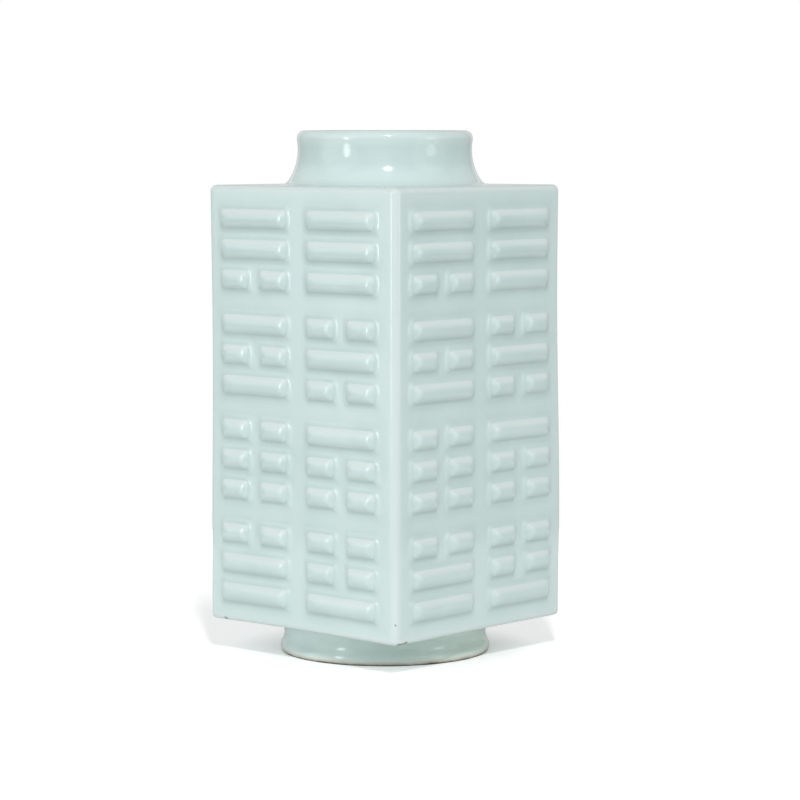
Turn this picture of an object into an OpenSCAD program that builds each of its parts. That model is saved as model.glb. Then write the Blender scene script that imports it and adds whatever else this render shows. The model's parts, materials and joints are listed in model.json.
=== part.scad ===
// Cong vase: a square porcelain vase with a round neck and a round foot, under a pale celadon glaze.
// Four wall slabs, a shoulder slab and a base slab are mitred and luted into a hollow block, and clay
// coils are pressed into the seams inside it. A thrown neck and a thrown foot ring are luted on, and
// each wall carries the eight trigrams in relief, as arched bars in two columns of four.
// The origin is the centre of the foot's underside. +Z is up, and the walls are square to X and Y.

/* [Body] */
// Width of the square body, from face to face
body_w = 134.5; // [126:0.5:170]
// Height of the square body, from the foot ring to the neck
body_h = 233.5; // [220:0.5:300]
// Thickness of the four wall slabs
wall_t = 7; // [5:0.5:10]
// Thickness of the shoulder slab
shoulder_t = 8; // [6:0.5:11]
// Thickness of the base slab
base_t = 8; // [6:0.5:11]
// Radius of the four upright edges
upright_edge_r = 4.2; // [3.6:0.1:6]
// Radius of the edges round the shoulder
shoulder_edge_r = 3.4; // [1.2:0.1:3.5]
// Radius of the edges round the base
base_edge_r = 2.4; // [1.2:0.1:3.5]

/* [Neck] */
// Height of the neck above the shoulder
neck_h = 29; // [24:0.5:45]
// Diameter of the neck at its waist
neck_d = 93.2; // [70:0.2:98]
// Thickness of the neck's wall at its waist, which leaves the mouth
neck_t = 8; // [5:0.1:10]
// How far the rolled lip stands out from the neck's waist
lip_overhang = 0.5; // [0.2:0.1:2]
// Radius of the long hollow curve in which the neck flares below its waist
neck_flare_r = 30; // [24:0.5:40]
// Height above the shoulder at which the neck begins to flare towards it
neck_flare_h = 18.6; // [14:0.2:20]
// Radius of the cove in which the flare turns level onto the shoulder
neck_cove_r = 6; // [4:0.2:8]
// How far out from the neck's waist that cove lies level on the shoulder
neck_spread = 9.4; // [7:0.2:10]
// Thickness of the neck at the outer edge of its cove
neck_skirt_t = 0.5; // [0.4:0.1:1]

/* [Foot] */
// Height of the foot ring under the body
foot_h = 17.5; // [15:0.5:30]
// Diameter of the foot ring at its rolled edge
foot_d = 114; // [100:0.2:118]
// How far the foot's waist is drawn in from its rolled edge
foot_waist_in = 2; // [1:0.1:3]
// Thickness of the foot ring at its waist, which leaves the recess inside it
foot_t = 7.5; // [5:0.1:12]
// Radius of the foot's rolled edge
foot_roll_r = 5.5; // [4.2:0.1:6]
// Height of the middle of the foot's rolled edge
foot_roll_z = 2.8; // [2:0.1:4]
// Radius of the cove from the foot's waist out to the base
foot_cove_r = 7.5; // [5:0.1:8.5]
// Thickness of the foot ring at the outer edge of its cove
foot_skirt_t = 0.6; // [0.4:0.1:1]

/* [Seams] */
// Radius of the coils smoothed into the four upright corners inside
corner_coil_r = 8; // [5:0.5:12]
// Radius of the coils smoothed in round the base and under the shoulder
level_coil_r = 6.5; // [4:0.5:7.5]
// How far the coils' hollow faces run past the slabs, so that their edges are thin but not sharp
coil_feather = 0.4; // [0.2:0.1:0.8]

/* [Trigrams] */
// Bare margin between the bars and the upright edges
side_margin = 10.4; // [8:0.2:18]
// Bare strip between the two columns of trigrams
column_gap = 10.8; // [8:0.2:24]
// How far the front wall's trigrams stand to the right of its middle, or to the left below zero
front_shift = -1.2; // [-3:0.1:3]
// Bare margin above the highest bars
top_margin = 11.7; // [8:0.1:20]
// Bare margin below the lowest bars
bottom_margin = 10.5; // [8:0.1:20]
// Height of a bar on the wall
bar_h = 11.2; // [8:0.2:12.8]
// Relief of a bar, from the wall to its crown
bar_rise = 3.4; // [1.8:0.1:4]
// Distance between the lines of a trigram, from middle to middle
line_pitch = 16.15; // [13:0.05:17]
// Gap in a broken line
broken_gap = 5.4; // [4:0.2:12]
// Length of the hip in which a bar's crown slopes down to each end
bar_hip_l = 4.4; // [3.6:0.2:6]
// Height of a bar's ends, below their hips
bar_end_h = 1.2; // [0.6:0.1:1.6]

/* [Hidden] */
$fn = 128;
// How far a cutting shape reaches past what it cuts
cut = 2;

half_w = body_w / 2;
inner_half = half_w - wall_t;
body_z0 = foot_h;
body_z1 = body_z0 + body_h;
floor_z = body_z0 + base_t;
ceiling_z = body_z1 - shoulder_t;
height = body_z1 + neck_h;

neck_r = neck_d / 2;
mouth_r = neck_r - neck_t;
// The lip is a full roll from the mouth out to its overhang
lip_roll_r = (neck_t + lip_overhang) / 2;
foot_r = foot_d / 2;
foot_waist_r = foot_r - foot_waist_in;
foot_bore_r = foot_waist_r - foot_t;

// Radius at which a cove thins to its edge, from the radius at which it lies level
function skirt_r(level_r, cove_r, edge_t) = level_r - sqrt(2 * cove_r * edge_t - edge_t * edge_t);

// The neck's flare ends in a cove: the two curves cross near the line through their middles
flare_x = neck_r + neck_flare_r;
flare_z = body_z1 + neck_flare_h;
neck_cove_x = neck_r + neck_spread;
neck_cove_z = body_z1 + neck_cove_r;
flare_to_cove = norm([flare_x - neck_cove_x, flare_z - neck_cove_z]);
neck_join_z = flare_z - (flare_z - neck_cove_z) * neck_flare_r / flare_to_cove;
neck_skirt_r = skirt_r(neck_cove_x, neck_cove_r, neck_skirt_t);

foot_cove_x = foot_waist_r + foot_cove_r;
foot_cove_z = foot_h - foot_cove_r;
foot_skirt_r = skirt_r(foot_cove_x, foot_cove_r, foot_skirt_t);

bar_l = half_w - side_margin - column_gap / 2;
half_bar_l = (bar_l - broken_gap) / 2;
bar_r = (bar_h * bar_h / 4 + bar_rise * bar_rise) / (2 * bar_rise);
column_x = column_gap / 2 + bar_l / 2;

// The walls, in the order of a quarter turn each from the front at -Y
SIDES = ["front", "right", "back", "left"];
// The upright corners, each between a wall and the next
CORNERS = ["front_right", "back_right", "back_left", "front_left"];
// The trigrams, with their lines from the top: 1 is whole and 0 is broken
TRIGRAMS = [
    ["xun", [1, 1, 0]], ["qian", [1, 1, 1]],
    ["li", [1, 0, 1]], ["kan", [0, 1, 0]],
    ["kun", [0, 0, 0]], ["gen", [1, 0, 0]],
    ["dui", [0, 1, 1]], ["zhen", [0, 0, 1]]
];
COLUMNS = 2;
ROWS = len(TRIGRAMS) / COLUMNS;
LINES = len(TRIGRAMS[0][1]);
trigram_h = (LINES - 1) * line_pitch + bar_h;
row_pitch = (body_h - top_margin - bottom_margin - trigram_h) / (ROWS - 1);
top_row_z = body_z1 - top_margin - trigram_h / 2;

function wall_name(s) = str(SIDES[s], "_wall");
function coil_name(s) = str(CORNERS[s], "_coil");
function trigram_name(s, i) = str(SIDES[s], "_trigram_", TRIGRAMS[i][0]);

all_sides = [0 : len(SIDES) - 1];
all_trigrams = [0 : len(TRIGRAMS) - 1];
NODES = concat(
    ["shoulder_slab", "base_slab", "neck", "foot_ring", "shoulder_coil", "base_coil"],
    [for (s = all_sides) wall_name(s)],
    [for (s = all_sides) coil_name(s)],
    [for (s = all_sides) for (i = all_trigrams) trigram_name(s, i)]
);
node = "all";

function shown(name) = node == "all" || node == name;

// A rectangle about the origin with true arcs at its upper and at its lower corners
module rounded_rectangle(w, h, upper_r, lower_r) {
    translate([-w / 2, lower_r - h / 2])
        square([w, h - upper_r - lower_r]);
    for (y = [-1, 1]) {
        r = y > 0 ? upper_r : lower_r;
        translate([0, y * h / 4])
            square([w - 2 * r, h / 2], center = true);
        for (x = [-1, 1])
            translate([x * (w / 2 - r), y * (h / 2 - r)])
                circle(r);
    }
}

// A square block about the Z axis, with its upright and its level edges rounded
module rounded_block(w, z0, z1, upright_r, upper_r, lower_r) {
    h = z1 - z0;
    translate([0, 0, (z0 + z1) / 2])
        intersection() {
            linear_extrude(h + 2 * cut, center = true)
                rounded_rectangle(w, w, upright_r, upright_r);
            intersection_for (turn = [0, 90])
                rotate([90, 0, turn])
                    linear_extrude(w + 2 * cut, center = true)
                        rounded_rectangle(w, h, upper_r, lower_r);
        }
}

// The outside of the luted slabs
module body_block() {
    rounded_block(body_w, body_z0, body_z1, upright_edge_r, shoulder_edge_r, base_edge_r);
}

// The hollow that is left inside when the seam coils are smoothed
module chamber() {
    rounded_block(2 * (inner_half + coil_feather), floor_z - coil_feather, ceiling_z + coil_feather,
                  corner_coil_r, level_coil_r, level_coil_r);
}

// A wall slab, modelled at the front: mitred to its neighbours, to the shoulder and to the base
module wall() {
    outer = half_w + cut;
    mitre_h = outer - inner_half;
    color("#CFDFDD")
        intersection() {
            body_block();
            translate([0, 0, body_z0 - cut])
                linear_extrude(body_h + 2 * cut)
                    polygon([[-inner_half, -inner_half], [-outer, -outer],
                             [outer, -outer], [inner_half, -inner_half]]);
            rotate([90, 0, 90])
                linear_extrude(2 * outer, center = true)
                    polygon([[-inner_half, floor_z], [-inner_half, ceiling_z],
                             [-outer, ceiling_z + mitre_h * shoulder_t / wall_t],
                             [-outer, floor_z - mitre_h * base_t / wall_t]]);
        }
}

// A slab with mitred edges that closes the walls: level is its inner face and rise its thickness,
// upwards for the shoulder and downwards, below zero, for the base
module mitred_slab(level, rise) {
    outer = half_w + cut;
    intersection() {
        body_block();
        intersection_for (turn = [0, 90])
            rotate([90, 0, turn])
                linear_extrude(2 * outer, center = true)
                    polygon([[-inner_half, level], [inner_half, level],
                             [outer, level + (outer - inner_half) * rise / wall_t],
                             [-outer, level + (outer - inner_half) * rise / wall_t]]);
    }
}

// The shoulder slab, with the mouth cut through it under the neck
module shoulder_slab() {
    color("#D6E3E0")
        difference() {
            mitred_slab(ceiling_z, shoulder_t);
            translate([0, 0, ceiling_z - cut])
                cylinder(r = mouth_r, h = shoulder_t + 2 * cut);
        }
}

// The base slab, which the foot ring stands under
module base_slab() {
    color("#C9DAD8")
        mitred_slab(floor_z, -base_t);
}

// The part of a ring's profile between two heights, from its bore out to a hollow curve
module hollowed(bore_r, edge_r, z0, z1, middle, r) {
    difference() {
        translate([bore_r, z0])
            square([edge_r - bore_r, z1 - z0]);
        translate(middle)
            circle(r);
    }
}

// The thrown neck: a rolled lip, a waist, and a flare that turns level onto the shoulder
module neck() {
    color("#D2E0DE")
        rotate_extrude() {
            translate([mouth_r, body_z1])
                square([neck_t, neck_h - lip_roll_r]);
            translate([mouth_r + lip_roll_r, height - lip_roll_r])
                circle(lip_roll_r);
            hollowed(mouth_r, flare_x, body_z1, flare_z, [flare_x, flare_z], neck_flare_r);
            hollowed(mouth_r, neck_skirt_r, body_z1, neck_join_z, [neck_cove_x, neck_cove_z], neck_cove_r);
        }
}

// The thrown foot ring: a rolled edge ground flat below, a waist and a cove up to the base slab
module foot_ring() {
    color("#ADBCB9")
        rotate_extrude() {
            translate([foot_bore_r, 0])
                square([foot_t, foot_h]);
            intersection() {
                translate([foot_bore_r, 0])
                    square([foot_r - foot_bore_r + cut, foot_h]);
                translate([foot_r - foot_roll_r, foot_roll_z])
                    circle(foot_roll_r);
            }
            hollowed(foot_bore_r, foot_skirt_r, foot_cove_z, foot_h, [foot_cove_x, foot_cove_z], foot_cove_r);
        }
}

// A square coil smoothed into the seam between the walls and a level slab, from z up
module level_coil(z) {
    color("#DDE5E2")
        difference() {
            translate([-inner_half, -inner_half, z])
                cube([2 * inner_half, 2 * inner_half, level_coil_r]);
            chamber();
        }
}

module shoulder_coil() {
    level_coil(ceiling_z - level_coil_r);
}

module base_coil() {
    level_coil(floor_z);
}

// A coil smoothed into an upright corner, modelled between the front and the right wall
module corner_coil() {
    coil_z0 = floor_z + level_coil_r;
    coil_z1 = ceiling_z - level_coil_r;
    hollow = inner_half + coil_feather - corner_coil_r;
    color("#DDE5E2")
        translate([0, 0, coil_z0])
            linear_extrude(coil_z1 - coil_z0)
                difference() {
                    translate([hollow, -inner_half])
                        square([inner_half - hollow, inner_half - hollow]);
                    translate([hollow, -hollow])
                        circle(corner_coil_r);
                }
}

// An arched bar lying along X on the XY plane, whose crown slopes down over a flat hip to each low end
module bar(l) {
    // The hips are drawn on past the crown, so that they cut right through it
    over = 1.25;
    hip_x = l / 2 - over * bar_hip_l;
    hip_z = bar_end_h + over * (bar_rise - bar_end_h);
    intersection() {
        rotate([90, 0, 90])
            linear_extrude(l + 2 * cut, center = true)
                intersection() {
                    translate([-bar_h, 0])
                        square([2 * bar_h, bar_h]);
                    translate([0, bar_rise - bar_r])
                        circle(bar_r);
                }
        rotate([90, 0, 0])
            linear_extrude(bar_h + 2 * cut, center = true)
                polygon([
                    [-l / 2, -cut], [l / 2, -cut], [l / 2, bar_end_h],
                    [hip_x, hip_z], [-hip_x, hip_z], [-l / 2, bar_end_h]
                ]);
    }
}

// A trigram on the front wall: three lines of bars, the broken ones in two halves
module trigram(i) {
    column = i % COLUMNS;
    row = floor(i / COLUMNS);
    lines = TRIGRAMS[i][1];
    color("#D8E3E1")
        translate([(2 * column - 1) * column_x, -half_w, top_row_z - row * row_pitch])
            rotate([90, 0, 0])
                for (line = [0 : LINES - 1])
                    translate([0, ((LINES - 1) / 2 - line) * line_pitch, 0])
                        if (lines[line] == 1)
                            bar(bar_l);
                        else
                            for (side = [-1, 1])
                                translate([side * (broken_gap + half_bar_l) / 2, 0, 0])
                                    bar(half_bar_l);
}

// How far a wall's trigrams stand to the right of its middle
function shift(s) = SIDES[s] == "front" ? front_shift : 0;

// Turns what is modelled at the front to another side
module on_side(s) {
    rotate([0, 0, s * 360 / len(SIDES)])
        children();
}

if (shown("shoulder_slab")) shoulder_slab();
if (shown("base_slab")) base_slab();
if (shown("neck")) neck();
if (shown("foot_ring")) foot_ring();
if (shown("shoulder_coil")) shoulder_coil();
if (shown("base_coil")) base_coil();
for (s = all_sides) {
    if (shown(wall_name(s))) on_side(s) wall();
    if (shown(coil_name(s))) on_side(s) corner_coil();
    for (i = all_trigrams)
        if (shown(trigram_name(s, i))) on_side(s) translate([shift(s), 0, 0]) trigram(i);
}
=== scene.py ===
import json
import math

import bmesh
import bpy
import numpy as np
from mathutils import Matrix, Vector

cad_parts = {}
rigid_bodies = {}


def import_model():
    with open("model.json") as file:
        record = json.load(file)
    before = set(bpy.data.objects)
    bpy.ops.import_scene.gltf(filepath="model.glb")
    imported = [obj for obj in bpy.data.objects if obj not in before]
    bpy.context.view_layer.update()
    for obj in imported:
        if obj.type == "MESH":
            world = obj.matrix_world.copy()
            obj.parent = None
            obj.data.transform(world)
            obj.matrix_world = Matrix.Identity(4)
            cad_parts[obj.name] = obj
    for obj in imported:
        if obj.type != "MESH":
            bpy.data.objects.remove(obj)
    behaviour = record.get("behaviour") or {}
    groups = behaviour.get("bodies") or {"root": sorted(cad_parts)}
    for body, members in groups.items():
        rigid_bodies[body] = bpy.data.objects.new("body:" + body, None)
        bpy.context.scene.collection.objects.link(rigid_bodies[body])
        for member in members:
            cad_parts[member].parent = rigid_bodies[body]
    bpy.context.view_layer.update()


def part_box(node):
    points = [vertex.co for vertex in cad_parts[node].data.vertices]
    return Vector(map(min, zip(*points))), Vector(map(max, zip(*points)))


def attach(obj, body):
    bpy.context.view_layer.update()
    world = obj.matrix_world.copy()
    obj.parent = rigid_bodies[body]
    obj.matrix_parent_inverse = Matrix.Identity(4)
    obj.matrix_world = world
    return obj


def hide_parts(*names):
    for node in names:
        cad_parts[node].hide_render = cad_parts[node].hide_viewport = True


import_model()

# The body is a square box of porcelain clay, luted together from four wall slabs, a shoulder slab
# and a base slab that meet in mitred seams. Its edges are rounded with a wet sponge before the
# glazing, and it has bowed a little in the kiln.
HALF_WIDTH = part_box("right_wall")[1][0]
BODY_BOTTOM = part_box("base_slab")[0][2]
BODY_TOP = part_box("shoulder_slab")[1][2]
BODY_HEIGHT = BODY_TOP - BODY_BOTTOM
BODY_MIDDLE = (BODY_TOP + BODY_BOTTOM) / 2
WALL_THICKNESS = 0.007
SLAB_THICKNESS = 0.008
UPRIGHT_ROUND = 0.0042
SHOULDER_ROUND = 0.0034
BASE_ROUND = 0.0024
ROUND_STEPS = 24
CELLS_ACROSS = 84
CELLS_UP = 152
SLAB_CREASE = math.radians(30)
SIDES = ("front", "right", "back", "left")
TINY = 0.00001
STRAIGHT = 0.9999


def pick(piece, domain, test):
    """Select the vertices, edges or faces of a piece in edit mode that pass a test."""
    bpy.ops.mesh.select_mode(type=domain)
    bpy.ops.mesh.select_all(action="DESELECT")
    mesh = bmesh.from_edit_mesh(piece.data)
    parts = {"VERT": mesh.verts, "EDGE": mesh.edges, "FACE": mesh.faces}[domain]
    for part in parts:
        if test(part):
            part.select_set(True)
    bmesh.update_edit_mesh(piece.data)


def along(edge, axis):
    """Whether an edge runs along an axis."""
    span = edge.verts[1].co - edge.verts[0].co
    return abs(span[axis]) > STRAIGHT * span.length


def only(*pieces):
    """Select these objects and no others, with the first one active."""
    bpy.ops.object.select_all(action="DESELECT")
    for piece in pieces:
        piece.select_set(True)
    bpy.context.view_layer.objects.active = pieces[0]


bpy.ops.object.select_all(action="DESELECT")
bpy.ops.mesh.primitive_cube_add(size=1, location=(0, 0, BODY_MIDDLE))
box = bpy.context.object
box.scale = (2 * HALF_WIDTH, 2 * HALF_WIDTH, BODY_HEIGHT)
bpy.ops.object.transform_apply()
bpy.ops.object.mode_set(mode="EDIT")
pick(box, "EDGE", lambda edge: along(edge, 2))
bpy.ops.mesh.bevel(offset=UPRIGHT_ROUND, segments=ROUND_STEPS, affect="EDGES")
for level, level_round in ((BODY_BOTTOM, BASE_ROUND), (BODY_TOP, SHOULDER_ROUND)):
    pick(box, "EDGE", lambda edge: all(abs(corner.co.z - level) < TINY for corner in edge.verts))
    bpy.ops.mesh.bevel(offset=level_round, segments=ROUND_STEPS, affect="EDGES")
for axis, cells in ((2, CELLS_UP), (0, CELLS_ACROSS), (1, CELLS_ACROSS)):
    pick(box, "EDGE", lambda edge: along(edge, axis))
    bpy.ops.mesh.subdivide(number_cuts=cells - 1)
bpy.ops.object.mode_set(mode="OBJECT")

# A lattice holds the bow that the body took in the kiln, and everything luted to the walls bows
# with them. Two corners are drawn in or out on their way up, and the bottom edge of the front rises
# in the middle and sags at the near corner.
POINTS_ACROSS = 3
LEVELS = 5
DRAWN_IN = {
    (0, 0): (0, 0.0001, 0.0010, 0.0010, 0),
    (2, 2): (-0.0006, -0.0018, -0.0005, 0.0007, -0.0001),
}
BASE_RISE = {(0, 0): 0.0001, (1, 0): 0.0012, (2, 0): -0.0011}
bpy.ops.object.add(type="LATTICE", location=(0, 0, BODY_MIDDLE))
kiln_bow = bpy.context.object
kiln_bow.scale = (2 * HALF_WIDTH, 2 * HALF_WIDTH, BODY_HEIGHT)
kiln_bow.data.points_u = POINTS_ACROSS
kiln_bow.data.points_v = POINTS_ACROSS
kiln_bow.data.points_w = LEVELS
for (u, v), draws in DRAWN_IN.items():
    for w, draw in enumerate(draws):
        point = kiln_bow.data.points[u + POINTS_ACROSS * (v + POINTS_ACROSS * w)]
        share = draw / (2 * HALF_WIDTH)
        point.co_deform.x += share if u == 0 else -share
        point.co_deform.y += share if v == 0 else -share
for (u, v), rise in BASE_RISE.items():
    kiln_bow.data.points[u + POINTS_ACROSS * v].co_deform.z += rise / BODY_HEIGHT


def bow(piece):
    """Bow a piece as the kiln bowed the body."""
    only(piece)
    bend = piece.modifiers.new("kiln bow", "LATTICE")
    bend.object = kiln_bow
    bpy.ops.object.modifier_apply(modifier=bend.name)


bow(box)
MITRE = math.sin(math.radians(45))


def part_off(whole, name, test):
    """Cut the faces that pass a test out of a mesh as a piece of their own."""
    only(whole)
    before = set(bpy.data.objects)
    bpy.ops.object.mode_set(mode="EDIT")
    pick(whole, "FACE", test)
    bpy.ops.mesh.separate(type="SELECTED")
    bpy.ops.object.mode_set(mode="OBJECT")
    piece = (set(bpy.data.objects) - before).pop()
    piece.name = name
    return piece


def thicken(slab, shrink, inner_place):
    """Give a slab its mitred edges and its flat inner face."""
    only(slab)
    bpy.ops.object.mode_set(mode="EDIT")
    bpy.ops.mesh.select_mode(type="EDGE")
    bpy.ops.mesh.select_all(action="SELECT")
    bpy.ops.mesh.region_to_loop()
    bpy.ops.mesh.extrude_region_move()
    bpy.ops.transform.resize(value=shrink, center_override=inner_place)
    bpy.ops.mesh.edge_face_add()
    bpy.ops.mesh.select_all(action="SELECT")
    bpy.ops.mesh.normals_make_consistent(inside=False)
    bpy.ops.object.mode_set(mode="OBJECT")
    bpy.ops.object.shade_smooth_by_angle(angle=SLAB_CREASE)


# Each slab's inner face is its outer outline drawn in about one point, so that neighbours meet in a
# mitre and leave the hollow of the body between them.
INNER_HALF = HALF_WIDTH - WALL_THICKNESS
FLOOR = BODY_BOTTOM + SLAB_THICKNESS
CEILING = BODY_TOP - SLAB_THICKNESS
wall_top = BODY_TOP - SHOULDER_ROUND * (1 - MITRE)
wall_bottom = BODY_BOTTOM + BASE_ROUND * (1 - MITRE)
rise_shrink = (CEILING - FLOOR) / (wall_top - wall_bottom)
rise_middle = (CEILING - rise_shrink * wall_top) / (1 - rise_shrink)
wall_shrink = INNER_HALF / (HALF_WIDTH - UPRIGHT_ROUND * (1 - MITRE))
shoulder_shrink = INNER_HALF / (HALF_WIDTH - SHOULDER_ROUND * (1 - MITRE))
base_shrink = INNER_HALF / (HALF_WIDTH - BASE_ROUND * (1 - MITRE))

shoulder = part_off(box, "glazed_shoulder_slab", lambda face: face.normal.z > MITRE)
base = part_off(box, "glazed_base_slab", lambda face: face.normal.z < -MITRE)
walls = {}
WALL_FACES = {
    "front": lambda face: -face.normal.y > abs(face.normal.x),
    "right": lambda face: face.normal.x > abs(face.normal.y),
    "back": lambda face: face.normal.y > abs(face.normal.x),
}
for side, test in WALL_FACES.items():
    walls[side] = part_off(box, f"glazed_{side}_wall", test)
walls["left"] = box
box.name = "glazed_left_wall"
for side, wall in walls.items():
    if side in ("front", "back"):
        place = -INNER_HALF if side == "front" else INNER_HALF
        thicken(wall, (wall_shrink, 0, rise_shrink), (0, place, rise_middle))
    else:
        place = INNER_HALF if side == "right" else -INNER_HALF
        thicken(wall, (0, wall_shrink, rise_shrink), (place, 0, rise_middle))
thicken(shoulder, (shoulder_shrink, shoulder_shrink, 0), (0, 0, CEILING))
thicken(base, (base_shrink, base_shrink, 0), (0, 0, FLOOR))

# The mouth is cut through the shoulder slab before the neck is luted round it.
MOUTH_RADIUS = 0.0386
ROUND_SIDES = 160
bpy.ops.mesh.primitive_cylinder_add(
    vertices=ROUND_SIDES, radius=MOUTH_RADIUS, depth=4 * SLAB_THICKNESS, location=(0, 0, BODY_TOP)
)
cutter = bpy.context.object
only(shoulder)
mouth = shoulder.modifiers.new("mouth", "BOOLEAN")
mouth.object = cutter
bpy.ops.object.modifier_apply(modifier=mouth.name)
bpy.data.objects.remove(cutter)

# The glaze is a thick pale celadon over white porcelain. It runs thin and whitish over every edge
# and crest, and gathers blue-green in every corner, so each piece carries its depth of glaze as an
# attribute, from 0 where it is thin to 1 where it has pooled. Below the bars that depth also holds
# painted shade.
GLAZE_THIN = (223, 231, 229)
GLAZE_EVEN = (207, 226, 224)
GLAZE_POOLED_AND_SHADED = (163, 186, 183)
EVEN_DEPTH = 0.5
GLAZE_IOR = 1.5
CLOUDS_TO_METRE = 38
CLOUD_DEPTH = 0.22
GRAINS_TO_METRE = 900
GRAIN_DEPTH = 0.05
GLOSS = 0.07
DULL_PATCHES_TO_METRE = 160
DULL_PATCH = 0.06
RIPPLES_TO_METRE = 75
RIPPLE_HEIGHT = 0.00005
PITS_TO_METRE = 420
PIT_HEIGHT = 0.000004


def linear(colour):
    """A colour as it looks on a screen, from 0 to 255, as the light that a shader works with."""
    shares = [part / 255 for part in colour]
    light = [s / 12.92 if s <= 0.04045 else ((s + 0.055) / 1.055) ** 2.4 for s in shares]
    return (*light, 1.0)


class Socket:
    """An output of a shader node, which takes part in plain arithmetic."""

    def __init__(self, tree, socket=None):
        self.tree = tree
        self.socket = socket

    def node(self, kind, settings=None, feeds=None, output=0):
        """Add a node, make its settings, feed its sockets and return one of its outputs."""
        made = self.tree.nodes.new(kind)
        for name, value in (settings or {}).items():
            if name == "stops":
                ramp = made.color_ramp.elements
                while len(ramp) < len(value):
                    ramp.new(1.0)
                for stop, (place, colour) in zip(ramp, value):
                    stop.position = place
                    stop.color = colour
            else:
                setattr(made, name, value)
        for name, value in (feeds or {}).items():
            if isinstance(value, Socket):
                self.tree.links.new(value.socket, made.inputs[name])
            else:
                made.inputs[name].default_value = value
        return Socket(self.tree, made.outputs[output])

    def math(self, operation, *values):
        return self.node("ShaderNodeMath", {"operation": operation}, dict(enumerate(values)))

    def __add__(self, other):
        return self.math("ADD", self, other)

    def __sub__(self, other):
        return self.math("SUBTRACT", self, other)

    def __rsub__(self, other):
        return self.math("SUBTRACT", other, self)

    def __mul__(self, other):
        return self.math("MULTIPLY", self, other)

    def __truediv__(self, other):
        return self.math("DIVIDE", self, other)

    __radd__ = __add__
    __rmul__ = __mul__

    def clamped(self):
        """The value held between 0 and 1."""
        return self.node("ShaderNodeClamp", {}, {"Value": self})

    def noise(self, scale, detail=2.0):
        """Cloudy noise at this place from 0 to 1, with so many clouds to the metre."""
        return self.node("ShaderNodeTexNoise", {}, {"Vector": self, "Scale": scale, "Detail": detail})

    def sway(self, scale, detail=2.0):
        """Cloudy noise that sways as far below 0 as above it."""
        return self.noise(scale, detail) - 0.5

    def blend(self, first, second):
        """The first colour where this mask is 0 and the second where it is 1."""
        feeds = {0: self, 6: first, 7: second}
        return self.node("ShaderNodeMix", {"data_type": "RGBA"}, feeds, output=2)


def celadon(name, finish=None):
    """The glaze of one slot, and what its finish adds to the colour and the gloss."""
    material = bpy.data.materials.new(name)
    material.use_nodes = True
    tree = material.node_tree
    shader = tree.nodes["Principled BSDF"]
    shader.inputs["IOR"].default_value = GLAZE_IOR
    base = Socket(tree)
    place = base.node("ShaderNodeTexCoord", output="Object")
    depth = base.node("ShaderNodeAttribute", {"attribute_name": "glaze_depth"}, output="Fac")
    clouds = place.sway(CLOUDS_TO_METRE, detail=3.0)
    grain = place.sway(GRAINS_TO_METRE, detail=1.0)
    depth = (depth + clouds * CLOUD_DEPTH + grain * GRAIN_DEPTH).clamped()
    stops = [(0.0, linear(GLAZE_THIN)), (EVEN_DEPTH, linear(GLAZE_EVEN)), (1.0, linear(GLAZE_POOLED_AND_SHADED))]
    colour = base.node("ShaderNodeValToRGB", {"stops": stops}, {"Fac": depth})
    gloss = GLOSS + place.noise(DULL_PATCHES_TO_METRE) * DULL_PATCH
    if finish:
        colour, gloss = finish(place, colour, gloss)
    ripples = place.noise(RIPPLES_TO_METRE, detail=1.0) * RIPPLE_HEIGHT
    pits = place.noise(PITS_TO_METRE, detail=1.0) * PIT_HEIGHT
    surface = base.node("ShaderNodeBump", {}, {"Height": ripples + pits, "Distance": 1.0, "Strength": 1.0})
    tree.links.new(colour.socket, shader.inputs["Base Color"])
    tree.links.new(gloss.socket, shader.inputs["Roughness"])
    tree.links.new(surface.socket, shader.inputs["Normal"])
    return material


def set_depth(piece, depth):
    """Write the depth of glaze, and any painted shade it holds, at each vertex of a piece."""
    layer = piece.data.attributes.new("glaze_depth", "FLOAT", "POINT")
    layer.data.foreach_set("value", np.asarray(depth, dtype=np.float32))


def vertices_of(piece):
    """The places of a piece's vertices, one row each."""
    return np.array([corner.co for corner in piece.data.vertices])


# The eight trigrams stand on every wall in two columns. A trigram is three lines, each one whole bar
# or two short ones, pressed from a mould as arched bars with hipped ends and luted flat on the wall.
# TRIGRAMS gives each one's column, its row and its lines from the top, with 1 for a whole bar.
BAR_LENGTH = 0.05145
HALF_BAR_LENGTH = 0.02302
BAR_HEIGHT = 0.0112
BAR_RISE = 0.0034
LINE_PITCH = 0.01615
COLUMN_PLACE = 0.03112
FRONT_SHIFT = -0.0012
TOP_MARGIN = 0.03345
TOP_ROW = BODY_TOP - TOP_MARGIN
ROW_PITCH = 0.05593
TRIGRAMS = {
    "xun": (0, 0, (1, 1, 0)), "qian": (1, 0, (1, 1, 1)),
    "li": (0, 1, (1, 0, 1)), "kan": (1, 1, (0, 1, 0)),
    "kun": (0, 2, (0, 0, 0)), "gen": (1, 2, (1, 0, 0)),
    "dui": (0, 3, (0, 1, 1)), "zhen": (1, 3, (0, 0, 1)),
}


def bars_of(name):
    """Where a trigram's bars lie on its wall: across, up and length."""
    column, row, lines = TRIGRAMS[name]
    middle = COLUMN_PLACE if column else -COLUMN_PLACE
    for line, whole in enumerate(lines):
        up = TOP_ROW - row * ROW_PITCH + (1 - line) * LINE_PITCH
        if whole:
            yield middle, up, BAR_LENGTH
        else:
            shift = (BAR_LENGTH - HALF_BAR_LENGTH) / 2
            yield middle - shift, up, HALF_BAR_LENGTH
            yield middle + shift, up, HALF_BAR_LENGTH


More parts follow.
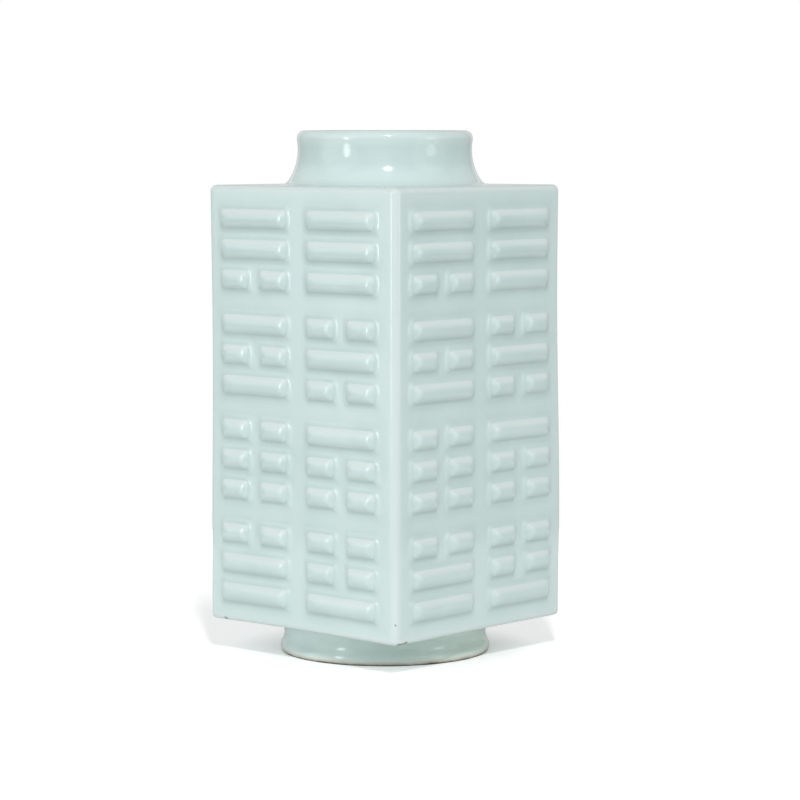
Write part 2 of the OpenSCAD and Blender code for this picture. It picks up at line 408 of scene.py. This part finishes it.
ALL_BARS = [bar for name in TRIGRAMS for bar in bars_of(name)]
BAR_RADIUS = (BAR_HEIGHT ** 2 / 4 + BAR_RISE ** 2) / (2 * BAR_RISE)
SIDE_FILLET = 0.004
END_RADIUS = 0.0105
END_SETBACK = 0.0019
SKIRT_MARGIN = 0.0004
SKIRT_LIFT = 0.000004
BACK_SUNK = 0.0006
# The pool round each bar is partly real glaze gathered in the corners and partly painted shade: it is
# deepest below the bar, where shade falls.
POOL_AND_SHADE_DEPTH = 0.16
FILLET_POOL_AND_SHADE = 0.2
POOL_AND_SHADE_ABOVE = 0.6
POOL_AND_SHADE_AT_ENDS = 0.4
POOL_AND_SHADE_REACH = 0.0034
ARCH_DEEPER = 0.04
CREST_THIN = 0.34
CREST_START = 0.2
CREST_FADE = 0.5
BARED_START = 0.7
BARED_OVER = 0.0004


def pooled_and_shaded(across, up, length):
    """How far glaze has pooled round a bar, with painted shade under it: most below it, less above it and
    least at its ends.
    """
    beside = np.maximum(np.abs(across) - length / 2 + END_SETBACK, 0)
    over = np.maximum(np.abs(up) - BAR_HEIGHT / 2, 0)
    share = np.where(up > 0, POOL_AND_SHADE_ABOVE, 1)
    share = share + (POOL_AND_SHADE_AT_ENDS - share) * beside / (beside + over + TINY)
    return share * np.exp(-(np.hypot(beside, over) / POOL_AND_SHADE_REACH) ** 2)


# The fillet of glaze and slip at the bar's foot leaves the wall level, and meets the arch at the
# steepest slope, where both curves have the same direction. The ends are rounded in the same way on a
# wider arc. The bar's rings are distances past its ends, distances from its middle line and heights,
# and the last one stops half a step short of the crest.
arch_sink = BAR_RADIUS - BAR_RISE
steepest = math.acos((arch_sink + SIDE_FILLET) / (BAR_RADIUS + SIDE_FILLET))
fillet_start = (BAR_RADIUS + SIDE_FILLET) * math.sin(steepest)
arch_edge = BAR_RADIUS * math.sin(steepest)
arch_foot = BAR_RADIUS * math.cos(steepest) - arch_sink
end_steepest = math.acos(1 - (BAR_RISE - arch_foot) / END_RADIUS)
end_fillet = arch_foot / (1 - math.cos(end_steepest))
end_start = end_fillet * math.sin(end_steepest) - END_SETBACK
end_crown = -END_SETBACK - END_RADIUS * math.sin(end_steepest)
FILLET_STEPS = 4
ARCH_STEPS = 5
HALF_STEP = 0.5
CORNER = 0.0046
END_BOW = 0.00025
CORNER_BOW = 0.001
SOFT_CREASE = math.radians(40)
bar_rings = [(end_start + SKIRT_MARGIN, fillet_start + SKIRT_MARGIN, 0.0), (end_start, fillet_start, 0.0)]
for step in range(1, FILLET_STEPS + 1):
    slope = steepest * step / FILLET_STEPS
    high = SIDE_FILLET * (1 - math.cos(slope))
    end = end_start - end_fillet * math.sin(math.acos(1 - high / end_fillet))
    bar_rings.append((end, fillet_start - SIDE_FILLET * math.sin(slope), high))
for step in range(1, ARCH_STEPS + 1):
    slope = steepest * (1 - step / (ARCH_STEPS + HALF_STEP))
    high = BAR_RADIUS * math.cos(slope) - arch_sink
    end = end_crown + END_RADIUS * math.sin(math.acos(1 - (BAR_RISE - high) / END_RADIUS))
    bar_rings.append((end, BAR_RADIUS * math.sin(slope), high))


def bar(length):
    """One bar, lying on its back at the origin with its length along X."""
    bpy.ops.object.select_all(action="DESELECT")
    bpy.ops.mesh.primitive_plane_add(size=1, location=(0, 0, SKIRT_LIFT))
    piece = bpy.context.object
    first_end, first_side, _ = bar_rings[0]
    piece.scale = (length + 2 * first_end, 2 * first_side, 1)
    bpy.ops.object.transform_apply()
    bpy.ops.object.mode_set(mode="EDIT")
    end_cut = length / 2 + first_end - CORNER
    side_cut = first_side - CORNER
    for cut, normal in ((-end_cut, (1, 0, 0)), (0, (1, 0, 0)), (end_cut, (1, 0, 0)),
                        (-side_cut, (0, 1, 0)), (0, (0, 1, 0)), (side_cut, (0, 1, 0))):
        bpy.ops.mesh.select_all(action="SELECT")
        bpy.ops.mesh.bisect(plane_co=(cut, cut, 0), plane_no=normal)
    for way in (-1, 1):
        for beside, draw in ((side_cut, END_BOW), (first_side, CORNER_BOW)):
            pick(piece, "VERT", lambda corner: corner.co.x * way > end_cut + TINY
                 and abs(abs(corner.co.y) - beside) < TINY)
            bpy.ops.transform.translate(value=(-way * draw, 0, 0))
    bpy.ops.mesh.select_mode(type="FACE")
    bpy.ops.mesh.select_all(action="SELECT")
    for (end, side, low), (next_end, next_side, high) in zip(bar_rings, bar_rings[1:]):
        bpy.ops.mesh.extrude_region_move(TRANSFORM_OT_translate={"value": (0, 0, high - low)})
        shrink = ((length / 2 + next_end) / (length / 2 + end), next_side / side, 1)
        bpy.ops.transform.resize(value=shrink, center_override=(0, 0, high))
    bpy.ops.object.mode_set(mode="OBJECT")
    soft = piece.modifiers.new("soft hips", "SUBSURF")
    soft.levels = 1
    soft.render_levels = 1
    bpy.ops.object.modifier_apply(modifier=soft.name)
    bpy.ops.object.mode_set(mode="EDIT")
    bpy.ops.mesh.select_mode(type="EDGE")
    bpy.ops.mesh.select_all(action="DESELECT")
    bpy.ops.mesh.select_non_manifold()
    bpy.ops.mesh.extrude_region_move(TRANSFORM_OT_translate={"value": (0, 0, -BACK_SUNK)})
    bpy.ops.mesh.edge_face_add()
    bpy.ops.mesh.select_all(action="SELECT")
    bpy.ops.mesh.normals_make_consistent(inside=False)
    bpy.ops.object.mode_set(mode="OBJECT")
    bpy.ops.object.shade_smooth_by_angle(angle=SOFT_CREASE)
    places = vertices_of(piece)
    rise = np.maximum(places[:, 2] - SKIRT_LIFT, 0)
    upper = np.clip(places[:, 1] / arch_edge, -1, 1)
    high = np.clip(rise / arch_foot, 0, 1)
    # The pool in the fillet, deepest below the bar, is partly painted shade.
    pool_and_shade = pooled_and_shaded(places[:, 0], places[:, 1], length)
    fillet = EVEN_DEPTH + pool_and_shade * (POOL_AND_SHADE_DEPTH + (FILLET_POOL_AND_SHADE - POOL_AND_SHADE_DEPTH) * high)
    thin = np.clip((upper - CREST_START) / CREST_FADE, 0, 1)
    arch = EVEN_DEPTH + ARCH_DEEPER - CREST_THIN * thin ** 2 * (3 - 2 * thin)
    bared = np.clip((rise - arch_foot) / BARED_OVER + BARED_START, 0, 1)
    set_depth(piece, fillet + (arch - fillet) * bared)
    return piece


whole_bar = bar(BAR_LENGTH)
short_bar = bar(HALF_BAR_LENGTH)
relief_glaze = celadon("celadon_relief")
for name in TRIGRAMS:
    pieces = []
    for across, up, length in bars_of(name):
        only(whole_bar if length == BAR_LENGTH else short_bar)
        bpy.ops.object.duplicate()
        copy = bpy.context.object
        copy.rotation_euler.x = math.radians(90)
        copy.location = (across, -HALF_WIDTH, up)
        pieces.append(copy)
    only(*pieces)
    bpy.ops.object.join()
    bpy.ops.object.transform_apply()
    first = bpy.context.object
    first.data.materials.append(relief_glaze)
    for turn, side in enumerate(SIDES):
        only(first)
        bpy.ops.object.duplicate()
        trigram = bpy.context.object
        trigram.name = f"glazed_{side}_{name}"
        if side == "front":
            trigram.location.x = FRONT_SHIFT
        trigram.rotation_euler.z = math.radians(90 * turn)
        bpy.ops.object.transform_apply()
        bow(trigram)
        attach(trigram, "root")
        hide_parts(f"{side}_trigram_{name}")
    bpy.data.objects.remove(first)
bpy.data.objects.remove(whole_bar)
bpy.data.objects.remove(short_bar)

# The slabs take the same glaze, which has pooled round the bars and drawn thin along the edges of the
# body; the deeper tone below each bar is painted shade. Knocks have chipped the bottom edge by the
# near corner, and left two nicks in the glaze.
EDGE_REACH = 0.003
EDGE_THIN = 0.3


def wall_depth(across, up, shift):
    """The depth of glaze over a wall, with painted shade below the bars, from places across and up it."""
    pool_and_shade = np.zeros(len(across))
    for middle, height, length in ALL_BARS:
        pool_and_shade = np.maximum(pool_and_shade, pooled_and_shaded(across - middle - shift, up - height, length))
    edge = np.minimum(HALF_WIDTH - np.abs(across), BODY_HEIGHT / 2 - np.abs(up - BODY_MIDDLE))
    return EVEN_DEPTH + POOL_AND_SHADE_DEPTH * pool_and_shade - EDGE_THIN * np.exp(-(np.maximum(edge, 0) / EDGE_REACH) ** 2)


CHIP = (126, 126, 112)
NICK = (146, 160, 154)
CHIPS = (
    ((0.0664, -0.0640, 0.0175), 0.0008),
    ((0.0664, -0.0624, 0.0174), 0.0009),
    ((0.0664, -0.0606, 0.0175), 0.0009),
    ((0.0665, -0.0588, 0.0178), 0.0011),
)
NICKS = (((-0.0548, -0.0668, 0.0182), 0.0014), ((0.0660, -0.0660, 0.0279), 0.0005))
SPOT_REACH = 1.5
SPOT_RAGGED = 0.0008
CHIP_DULL = 0.5


def spot(place, centre, radius):
    """A mask that is 1 inside a ragged spot round a point of the piece."""
    feeds = {0: place, 1: centre}
    away = place.node("ShaderNodeVectorMath", {"operation": "DISTANCE"}, feeds, output=1)
    edge = away + place.sway(1 / radius) * SPOT_RAGGED
    return (SPOT_REACH - edge / radius).clamped()


def chipped(place, colour, gloss):
    """Chips along the bottom edge, where the clay shows, and shallow nicks in the glaze."""
    nicks = sum(spot(place, centre, radius) for centre, radius in NICKS).clamped()
    chips = sum(spot(place, centre, radius) for centre, radius in CHIPS).clamped()
    colour = nicks.blend(colour, linear(NICK))
    colour = chips.blend(colour, linear(CHIP))
    return colour, gloss + chips * CHIP_DULL


wall_glaze = celadon("celadon_wall", chipped)
for turn, side in enumerate(SIDES):
    wall = walls[side]
    places = vertices_of(wall)
    angle = math.radians(90 * turn)
    across = places[:, 0] * math.cos(angle) + places[:, 1] * math.sin(angle)
    set_depth(wall, wall_depth(across, places[:, 2], FRONT_SHIFT if side == "front" else 0))
    wall.data.materials.append(wall_glaze)
    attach(wall, "root")
    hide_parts(f"{side}_wall")
base_glaze = celadon("celadon_base", chipped)
for slab, node, glaze in ((shoulder, "shoulder_slab", wall_glaze), (base, "base_slab", base_glaze)):
    places = vertices_of(slab)
    edge = HALF_WIDTH - np.maximum(np.abs(places[:, 0]), np.abs(places[:, 1]))
    set_depth(slab, EVEN_DEPTH - EDGE_THIN * np.exp(-(np.maximum(edge, 0) / EDGE_REACH) ** 2))
    slab.data.materials.append(glaze)
    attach(slab, "root")
    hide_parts(node)

# The neck is thrown on the wheel with a rolled lip, and luted round the mouth with a wide cove that
# runs out level on the shoulder.
LIP_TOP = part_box("neck")[1][2]
LIP_RADIUS = 0.0471
NECK_RADIUS = 0.0466
NECK_FLARE = 0.030
NECK_COVE = 0.006
COVE_STEPS = 10
FLARE_STEPS = 24
LIP_STEPS = 24
NECK_DEEPER = 0.1
LIP_THIN = 0.25
LIP_FADE = 0.7
COVE_THIN = 0.16


def arc(middle, radius, start, end, steps):
    """Places on an arc of a profile past its start, as distances from the axis and heights."""
    for step in range(1, steps + 1):
        angle = math.radians(start + (end - start) * step / steps)
        yield middle[0] + radius * math.cos(angle), middle[1] + radius * math.sin(angle)


def throw(name, profile, sides=ROUND_SIDES, turned=0.0):
    """A closed ring, drawn up loop by loop along a profile as on the wheel."""
    bpy.ops.object.select_all(action="DESELECT")
    radius, height = profile[0]
    bpy.ops.mesh.primitive_circle_add(vertices=sides, radius=radius, location=(0, 0, height))
    piece = bpy.context.object
    piece.name = name
    piece.rotation_euler.z = turned
    bpy.ops.object.transform_apply()
    bpy.ops.object.mode_set(mode="EDIT")
    bpy.ops.mesh.select_mode(type="EDGE")
    bpy.ops.mesh.select_all(action="SELECT")
    for (wide, low), (next_wide, high) in zip(profile, profile[1:]):
        bpy.ops.mesh.extrude_region_move(TRANSFORM_OT_translate={"value": (0, 0, high - low)})
        spread = next_wide / wide
        bpy.ops.transform.resize(value=(spread, spread, 1), center_override=(0, 0, high))
    bpy.ops.mesh.select_all(action="DESELECT")
    bpy.ops.mesh.select_non_manifold()
    bpy.ops.mesh.bridge_edge_loops()
    bpy.ops.mesh.select_all(action="SELECT")
    bpy.ops.mesh.normals_make_consistent(inside=False)
    bpy.ops.object.mode_set(mode="OBJECT")
    bpy.ops.object.shade_smooth_by_angle(angle=SOFT_CREASE)
    return piece


lip_roll = (LIP_RADIUS - MOUTH_RADIUS) / 2
lip_middle = (MOUTH_RADIUS + lip_roll, LIP_TOP - lip_roll)
flare_out = NECK_RADIUS + NECK_FLARE
lip_turn = math.acos((flare_out - lip_middle[0]) / (NECK_FLARE + lip_roll))
flare_middle = (flare_out, lip_middle[1] - (NECK_FLARE + lip_roll) * math.sin(lip_turn))
cove_up = BODY_TOP + NECK_COVE + SKIRT_LIFT
cove_turn = math.asin((flare_middle[1] - cove_up) / (NECK_FLARE - NECK_COVE))
cove_middle = (flare_out - (NECK_FLARE - NECK_COVE) * math.cos(cove_turn), cove_up)
lip_turn = math.degrees(lip_turn)
cove_turn = math.degrees(cove_turn)
cove_edge = cove_middle[0]
neck_profile = [(cove_edge + SKIRT_MARGIN, BODY_TOP + SKIRT_LIFT), (cove_edge, BODY_TOP + SKIRT_LIFT)]
neck_profile += arc(cove_middle, NECK_COVE, 270, 180 + cove_turn, COVE_STEPS)
neck_profile += arc(flare_middle, NECK_FLARE, 180 + cove_turn, 180 - lip_turn, FLARE_STEPS)
neck_profile += arc(lip_middle, lip_roll, -lip_turn, 180, LIP_STEPS)
neck_profile += [(MOUTH_RADIUS, LIP_TOP - 3 * lip_roll), (MOUTH_RADIUS, BODY_TOP)]
neck = throw("glazed_neck", neck_profile)
height = vertices_of(neck)[:, 2]
lip_share = np.clip((height - (LIP_TOP - 2 * lip_roll)) / (2 * lip_roll), 0, 1)
cove_share = np.clip(1 - (height - BODY_TOP) / (2 * NECK_COVE), 0, 1)
lip_thinner = LIP_THIN * lip_share ** LIP_FADE
cove_thinner = COVE_THIN * np.clip(2 * cove_share, 0, 1)
set_depth(neck, EVEN_DEPTH + NECK_DEEPER - lip_thinner - cove_thinner)
neck.data.materials.append(celadon("celadon_neck"))
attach(neck, "root")
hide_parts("neck")

# The foot ring is thrown with a waist and a rolled edge, and luted under the base. Its standing edge
# is wiped bare of glaze, and the bare clay has burnt brown there.
FOOT_RADIUS = 0.0565
FOOT_WAIST = 0.0546
FOOT_BORE = 0.0475
FOOT_ROLL = 0.0055
FOOT_ROLL_HEIGHT = 0.0028
FOOT_COVE = 0.0075
FOOT_SUNK = 0.0008
FOOT_CHAMFER = 0.0008
FOOT_COVE_STEPS = 14
THROAT_STEPS = 6
ROLL_STEPS = 16
FOOT_DEPTH = 0.36
WAIST_DEEPER = 0.2
BARE_CLAY = (74, 66, 56)
IRON_STAIN = (150, 148, 128)
GREENER_SHADED_GLAZE = (190, 208, 190)
SHADED_SIDE_WAY = (0.75, 0.66, 0.0)
GREENER_SHARE = 0.25
GREENER_RISE = 4
GREENER_CLOUDS_TO_METRE = 40
GREENER_SWAY = 0.3
PALE_ROLL = (238, 233, 222)
PALE_HEIGHT = 0.003
PALE_SHARE = 0.6
STAIN_HEIGHT = 0.0022
STAIN_SHARE = 0.6
BARE_HEIGHT = 0.0009
BARE_DULL = 0.6
RIM_EDGE = 1.3
RIM_WAVES_TO_METRE = 120
RIM_WANDER = 0.0012
roll_middle = (FOOT_RADIUS - FOOT_ROLL, FOOT_ROLL_HEIGHT)
cove_out = FOOT_WAIST + FOOT_COVE
roll_turn = math.acos((cove_out - roll_middle[0]) / (FOOT_COVE + FOOT_ROLL))
throat_up = FOOT_ROLL_HEIGHT + (FOOT_COVE + FOOT_ROLL) * math.sin(roll_turn)
roll_turn = math.degrees(roll_turn)
roll_foot = -math.degrees(math.asin(FOOT_ROLL_HEIGHT / FOOT_ROLL))
foot_profile = [(cove_out, BODY_BOTTOM + FOOT_SUNK), (cove_out, BODY_BOTTOM)]
foot_profile += arc((cove_out, BODY_BOTTOM - FOOT_COVE), FOOT_COVE, 90, 180, FOOT_COVE_STEPS)
foot_profile.append((FOOT_WAIST, throat_up))
foot_profile += arc((cove_out, throat_up), FOOT_COVE, 180, 180 + roll_turn, THROAT_STEPS)
foot_profile += arc(roll_middle, FOOT_ROLL, roll_turn, roll_foot, ROLL_STEPS)
foot_profile += [(FOOT_BORE + FOOT_CHAMFER, 0), (FOOT_BORE, FOOT_CHAMFER)]
foot_profile.append((FOOT_BORE, BODY_BOTTOM + FOOT_SUNK))


def below(up, height):
    """A mask that is 1 near the table and fades out past a height."""
    return (RIM_EDGE - up / height).clamped()


def foot_finish(place, colour, gloss):
    """Bare clay under the foot, a stain above it, pale glaze on the roll, and greener, darker glaze on one
    side that is partly painted shade.
    """
    up = place.node("ShaderNodeSeparateXYZ", {}, {0: place}, output="Z")
    wander = place.sway(RIM_WAVES_TO_METRE, detail=3.0) * RIM_WANDER
    bare = below(up + wander, BARE_HEIGHT)
    stain = below(up + wander * 2, STAIN_HEIGHT) * STAIN_SHARE
    pale = below(up + wander, PALE_HEIGHT) * PALE_SHARE
    # The side of the foot to the camera's right turns greener and darker: the tint is the glaze's own, the
    # darkening is painted shade.
    feeds = {0: place, 1: SHADED_SIDE_WAY}
    aside = place.node("ShaderNodeVectorMath", {"operation": "DOT_PRODUCT"}, feeds, output=1)
    clouds = place.sway(GREENER_CLOUDS_TO_METRE) * GREENER_SWAY
    greener_and_shaded = (GREENER_SHARE + aside * GREENER_RISE + clouds).clamped()
    colour = greener_and_shaded.blend(colour, linear(GREENER_SHADED_GLAZE))
    colour = pale.blend(colour, linear(PALE_ROLL))
    colour = stain.blend(colour, linear(IRON_STAIN))
    colour = bare.blend(colour, linear(BARE_CLAY))
    return colour, gloss + bare * BARE_DULL


foot = throw("glazed_foot_ring", foot_profile)
height = vertices_of(foot)[:, 2]
set_depth(foot, FOOT_DEPTH + WAIST_DEEPER * np.sin(np.clip(height / BODY_BOTTOM, 0, 1) * math.pi))
foot.data.materials.append(celadon("celadon_foot", foot_finish))
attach(foot, "root")
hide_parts("foot_ring")

# Coils of soft clay are smoothed into the inner seams with a finger, so that the slabs hold: one up
# each corner, and one round the floor and one round the ceiling.
CORNER_COIL = 0.008
LEVEL_COIL = 0.0065
COIL_STEPS = 8
COIL_LAP = 0.0004
COIL_DEPTH = 0.6
inner_glaze = celadon("inner_glaze")


def finish_coil(coil, node):
    """Glaze a coil and let it stand for its node."""
    set_depth(coil, np.full(len(coil.data.vertices), COIL_DEPTH))
    coil.data.materials.append(inner_glaze)
    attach(coil, "root")
    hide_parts(node)


for node, level, upward in (("base_coil", FLOOR, 1), ("shoulder_coil", CEILING, -1)):
    reach = INNER_HALF - LEVEL_COIL
    lapped = level - upward * COIL_LAP
    coil_profile = [(INNER_HALF + COIL_LAP, lapped), (reach, lapped), (reach, level)]
    coil_profile += arc((reach, level + upward * LEVEL_COIL), LEVEL_COIL, -90 * upward, 0, COIL_STEPS)
    coil_profile.append((INNER_HALF + COIL_LAP, level + upward * LEVEL_COIL))
    diagonal = [(wide * math.sqrt(2), high) for wide, high in coil_profile]
    finish_coil(throw("smoothed_" + node, diagonal, sides=4, turned=math.radians(45)), node)

# A corner coil is a quarter of a circle, filled towards the seam and drawn up from floor to ceiling.
bpy.ops.object.select_all(action="DESELECT")
coil_middle = INNER_HALF - CORNER_COIL
bpy.ops.mesh.primitive_circle_add(
    vertices=4 * COIL_STEPS, radius=CORNER_COIL, location=(coil_middle, -coil_middle, FLOOR)
)
corner_coil = bpy.context.object
bpy.ops.object.transform_apply()
bpy.ops.object.mode_set(mode="EDIT")
pick(corner_coil, "VERT", lambda end: end.co.x < coil_middle - TINY or end.co.y > -coil_middle + TINY)
bpy.ops.mesh.delete(type="VERT")
bpy.ops.mesh.select_all(action="SELECT")
bpy.ops.mesh.extrude_region_move()
seam = INNER_HALF + COIL_LAP
bpy.ops.transform.resize(value=(0, 0, 1), center_override=(seam, -seam, FLOOR))
bpy.ops.mesh.select_all(action="SELECT")
bpy.ops.mesh.remove_doubles(threshold=TINY)
bpy.ops.mesh.select_all(action="SELECT")
bpy.ops.mesh.extrude_region_move(TRANSFORM_OT_translate={"value": (0, 0, CEILING - FLOOR)})
bpy.ops.mesh.select_all(action="SELECT")
bpy.ops.mesh.normals_make_consistent(inside=False)
bpy.ops.object.mode_set(mode="OBJECT")
bpy.ops.object.shade_smooth_by_angle(angle=SOFT_CREASE)
for turn, node in enumerate(("front_right_coil", "back_right_coil", "back_left_coil", "front_left_coil")):
    only(corner_coil)
    bpy.ops.object.duplicate()
    coil = bpy.context.object
    coil.name = "smoothed_" + node
    coil.rotation_euler.z = math.radians(90 * turn)
    bpy.ops.object.transform_apply()
    finish_coil(coil, node)
bpy.data.objects.remove(corner_coil)
bpy.data.objects.remove(kiln_bow)

# The vase stands on a round white table before a white backdrop, in a dim room. A small key lamp
# above the camera throws its shadow, a tall soft box on either side makes the glints in the glaze,
# and wide washes light the walls, weakly from behind.
scene = bpy.context.scene
scene.view_settings.view_transform = "Standard"
AIM_HEIGHT = 0.14
ROOM_LIGHT = 0.32
ROOM_FRONT = 0.06
FRONT = (0.60, -0.80, 0.0)
BACKDROP = (-0.662, 0.75, 0.0)
BACKDROP_EDGE = 0.88
BACKDROP_FADE = 0.04
BACKDROP_MIRRORED = 0.6
FLOOR_MIRRORED = 0.45
TABLE_RADIUS = 0.5
TABLE_SIDES = 96
TABLE_WHITE = (0.9, 0.9, 0.9, 1)
UNDER_FOOT_GLOW = 0.22
BESIDE_FOOT = 0.05
BESIDE_FOOT_FADE = 0.035
BESIDE_FOOT_GLOW = 0.22
OPEN_TABLE = 0.17
OPEN_TABLE_FADE = 0.28
OPEN_TABLE_GLOW = 0.56


def seen(base, mirrored):
    """A mask for rays that show the background, with only a share of the mirrored ones."""
    straight = base.node("ShaderNodeLightPath", output="Is Camera Ray")
    through = base.node("ShaderNodeLightPath", output="Is Transmission Ray")
    glossy = base.node("ShaderNodeLightPath", output="Is Glossy Ray")
    return (straight + through + glossy * mirrored).clamped()


bpy.ops.object.select_all(action="DESELECT")
bpy.ops.mesh.primitive_circle_add(vertices=TABLE_SIDES, radius=TABLE_RADIUS, fill_type="NGON")
floor = bpy.context.object
floor.name = "floor"
paper = bpy.data.materials.new("white_paper")
paper.use_nodes = True
tree = paper.node_tree
tree.nodes.remove(tree.nodes["Principled BSDF"])
base_socket = Socket(tree)
ground = base_socket.node("ShaderNodeTexCoord", output="Object")
away = base_socket.node("ShaderNodeVectorMath", {"operation": "LENGTH"}, {0: ground}, output=1)
# The table glows white for the camera, but less under and beside the foot, where the dimmer glow is
# painted shade round the vase.
open_table = ((away - OPEN_TABLE) / OPEN_TABLE_FADE).clamped()
beside_foot = ((away - BESIDE_FOOT) / BESIDE_FOOT_FADE).clamped()
glow = UNDER_FOOT_GLOW + beside_foot * BESIDE_FOOT_GLOW + open_table * OPEN_TABLE_GLOW
glow = seen(base_socket, FLOOR_MIRRORED) * glow
lit = base_socket.node("ShaderNodeBsdfDiffuse", {}, {"Color": TABLE_WHITE})
white = base_socket.node("ShaderNodeEmission", {}, {"Color": glow, "Strength": 1.0})
both = base_socket.node("ShaderNodeAddShader", {}, {0: lit, 1: white})
tree.links.new(both.socket, tree.nodes["Material Output"].inputs["Surface"])
floor.data.materials.append(paper)

room = bpy.data.worlds.new("white_room")
scene.world = room
room.use_nodes = True
tree = room.node_tree
background = tree.nodes["Background"]
base_socket = Socket(tree)
toward = base_socket.node("ShaderNodeTexCoord", output="Generated")


def facing(way):
    """How far a ray points in this direction, from -1 to 1."""
    return toward.node("ShaderNodeVectorMath", {"operation": "DOT_PRODUCT"}, {0: toward, 1: way}, output=1)


backdrop = ((facing(BACKDROP) - BACKDROP_EDGE) / BACKDROP_FADE).clamped()
dim = ROOM_LIGHT + facing(FRONT).clamped() * ROOM_FRONT
whiteness = dim + seen(base_socket, backdrop * BACKDROP_MIRRORED) * (1 - dim)
background.inputs["Strength"].default_value = 1.0
tree.links.new(whiteness.socket, background.inputs["Color"])


def lamp(name, azimuth, elevation, distance, width, height, power):
    """An oval soft light that stands to one side of the vase and faces it."""
    flat = distance * math.cos(math.radians(elevation))
    turn = math.radians(azimuth)
    up = AIM_HEIGHT + distance * math.sin(math.radians(elevation))
    bpy.ops.object.light_add(type="AREA", location=(flat * math.sin(turn), -flat * math.cos(turn), up))
    box_light = bpy.context.object
    box_light.name = name
    box_light.rotation_euler = (math.radians(90 - elevation), 0, turn)
    box_light.data.shape = "ELLIPSE"
    box_light.data.size = width
    box_light.data.size_y = height
    box_light.data.energy = power


lamp("key", azimuth=46, elevation=40, distance=1.9, width=0.14, height=0.14, power=15)
lamp("left_soft_box", azimuth=-9, elevation=5, distance=1.8, width=0.3, height=0.75, power=3.6)
lamp("right_soft_box", azimuth=104, elevation=5, distance=1.8, width=0.45, height=0.65, power=1.6)
WASH_DISTANCE = 2.2
WASH_SIZE = 2.3
for name, azimuth, elevation, power in (
    ("left_wash", -20, 12, 11.5),
    ("right_wash", 104, 12, 8.5),
    ("left_rim_wash", -94, 20, 4),
    ("right_rim_wash", 176, 20, 3),
):
    lamp(name, azimuth, elevation, WASH_DISTANCE, WASH_SIZE, WASH_SIZE, power)

# The camera looks at the near corner from about the height of the lip, through a long lens.
CAMERA_PLACE = (1.0532, -1.1811, 0.2767)
CAMERA_PITCH = 84.89
CAMERA_YAW = 41.43
CAMERA_LENS = 132.66
CAMERA_SENSOR = 36
bpy.ops.object.camera_add(
    location=CAMERA_PLACE, rotation=(math.radians(CAMERA_PITCH), 0, math.radians(CAMERA_YAW))
)
camera = bpy.context.object
camera.data.lens = CAMERA_LENS
camera.data.sensor_width = CAMERA_SENSOR
scene.camera = camera
